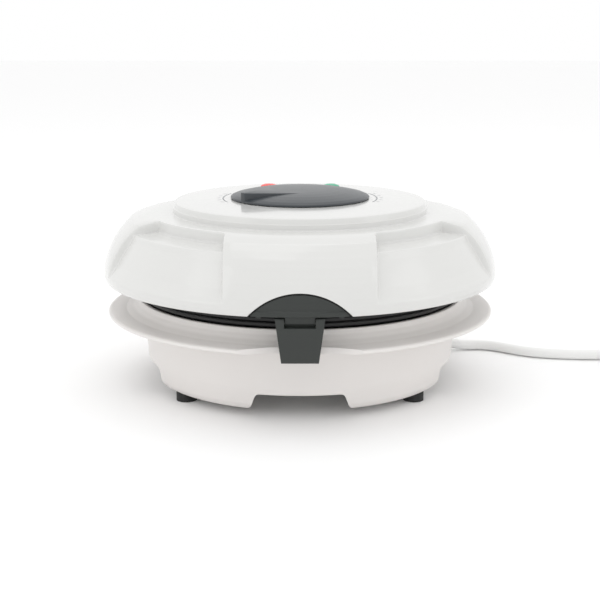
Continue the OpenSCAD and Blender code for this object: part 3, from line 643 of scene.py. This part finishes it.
LATCH_FOOT, LATCH_TOP, LATCH_PIN = 41.5, 65.8, (-117.2, 62.6)
side_line = [(-121.2, LATCH_FOOT), (-121.8, 42.1), (-121.8, 60.2), (-120.6, 63.6), (-119.2, 65.4),
             (-117.2, LATCH_TOP), (-115.2, 65), (-114.1, 63), (-114.8, 60.4), (-117.4, 59.2), (-119.2, 58.6),
             (-119.2, 44.5), (-118, 43), (-110.2, 43), (-109.7, 42.5), (-109.7, 42.2), (-110.4, LATCH_FOOT)]
latch_mesh = to_mesh(slab(rounded(side_line + side_line[:1], 0.5, 3)[:-1], -14, 14, "x", 0), "latch", 30)


def plane_cut(mesh, point, normal):
    """Takes away what lies past a plane, and closes the cut."""
    bm = loaded(mesh)
    everything = bm.verts[:] + bm.edges[:] + bm.faces[:]
    done = bmesh.ops.bisect_plane(bm, geom=everything, plane_co=point, plane_no=normal, clear_outer=True)
    rim = [e for e in done["geom_cut"] if isinstance(e, bmesh.types.BMEdge)]
    bmesh.ops.contextual_create(bm, geom=rim)
    bm.to_mesh(mesh)
    bm.free()


FOOT_HALF, TOP_HALF = 10, 13.35  # half the latch's width at its foot and at its top
lean = math.atan2(TOP_HALF - FOOT_HALF, LATCH_TOP - LATCH_FOOT)
for side in (-1, 1):
    plane_cut(latch_mesh, at(side * FOOT_HALF, -120, LATCH_FOOT),
              Vector((side * math.cos(lean), 0, -math.sin(lean))))
latch_mesh = cut(latch_mesh, joined(slab([(-8.4, 60.6), (8.4, 60.6), (8.4, 70), (-8.4, 70)], -124, -110, "y", 0),
                                    rod((-16, *LATCH_PIN), (16, *LATCH_PIN), 1.56, 24, 0)))
bm = loaded(latch_mesh)
bmesh.ops.remove_doubles(bm, verts=bm.verts, dist=0.00002)
sharp = [e for e in bm.edges if len(e.link_faces) == 2 and e.calc_face_angle(0) > 0.7]
bmesh.ops.bevel(bm, geom=sharp, offset=0.35 * MM, segments=3, profile=0.5, affect="EDGES", clamp_overlap=True)
put("latch_tongue", to_mesh(bm, "latch_tongue", 34), "grip_plastic", "latch", "latch_lever")

# ---------------------------------------------------------------- base

bowl = rounded([(76, 24.5), (76, 5), (90.6, 5), (92.6, 8.5), (94.4, 18), (95.3, 29), (96.4, 41), (98.2, 43.7),
                (116.2, 43.9), (118, 44.6), (118, 46.2), (116.6, 46.8), (107.2, 47.3), (103, 49), (100.6, 51.6),
                (99.7, 54.4), (97.6, 54.4), (97.3, 53), (97.2, 47), (94, 42.5), (92.8, 29), (92.4, 24.5), (76, 24.5)],
               [0, 0.6, 3, 5, 8, 8, 4, 3, 0.8, 0.9, 0.9, 0.9, 3, 5, 4, 0.7, 0.7, 0.5, 3, 4, 4, 0.8, 0], 6)
shell = to_mesh(turned(bowl, 300), "shell")


def arch(bottom, top, height, low, high, turn):
    """The way between two legs: rounded above, and flared where it meets the feet of the legs."""
    line = rounded([(-bottom - 12, 3), (-bottom - 12, 4.98), (-bottom - 0.4, 4.98), (-top, height), (top, height),
                    (bottom + 0.4, 4.98), (bottom + 12, 4.98), (bottom + 12, 3)], [0, 0, 4.6, 3.4, 3.4, 4.6, 0, 0], 8)
    bm = slab(line, low, high, "y", 0)
    axis = at(0, 0, 0)
    spin = Matrix.Translation(axis) @ Matrix.Rotation(math.radians(turn), 4, "Z") @ Matrix.Translation(-axis)
    bmesh.ops.transform(bm, matrix=spin, verts=bm.verts)
    return bm


hollows = []
for turn in (0, 180):
    hollows.append(part_turned(turn - 71.5, turn + 71.5, [(78.6, 19.5), (91.6, 19.5), (92.4, 26), (78.6, 26)]))
    for leg in (-69.5, 38):
        hollows.append(part_turned(turn + leg, turn + leg + 31.5,
                                   [(78.6, 7.5), (88.9, 7.5), (91.4, 19.6), (78.6, 19.6)]))
for hollow in hollows:
    shell = cut(shell, hollow)
shell = cut(shell, joined(*[arch(*FRONT_ARCH, -110, -60, turn) for turn in (0, 180)]))
shell = cut(shell, joined(*[arch(*SIDE_ARCH, -110, -60, turn) for turn in (90, 270)]))
notch = rounded([(-34.6, -130), (-34.6, -113.1), (-17, -109.2), (17, -109.2), (34.6, -113.1), (34.6, -130)],
                [0, 0.6, 6, 6, 0.6, 0], 6)
shell = cut(shell, slab(notch, 43, 55, "z", 0))

LEAD_HOLE = 5.05  # radius of the hole for the gland
shell = cut(shell, rod(on_lead(-14), on_lead(14), LEAD_HOLE, 48, 0))
sleeve = cut(to_mesh(rod(on_lead(-8), on_lead(3), 7.5, 48, 0.4), "sleeve"),
             rod(on_lead(-9), on_lead(5), LEAD_HOLE, 48, 0))
ear = [(96, 44.4), (108, 44.4), (131, 52.5), (132, 58), (126, 63), (119.8, 60), (112.5, 46.8), (96, 46.8)]
ear = rounded(ear + ear[:1], 2.0, 4)[:-1]
ears = joined(slab(ear, 17.5, 24, "x", 0.7), slab(ear, -24, -17.5, "x", 0.7),
              barrel(17.5, 24, 6.5), barrel(-24, -17.5, 6.5), barrel(-18.5, -0.3, 6.2, 0.5))
bowl_mesh = to_mesh(joined(loaded(shell), loaded(sleeve), ears), "base_bowl", 36)
put("base_bowl", bowl_mesh, "base_plastic", "base", "base_shell")
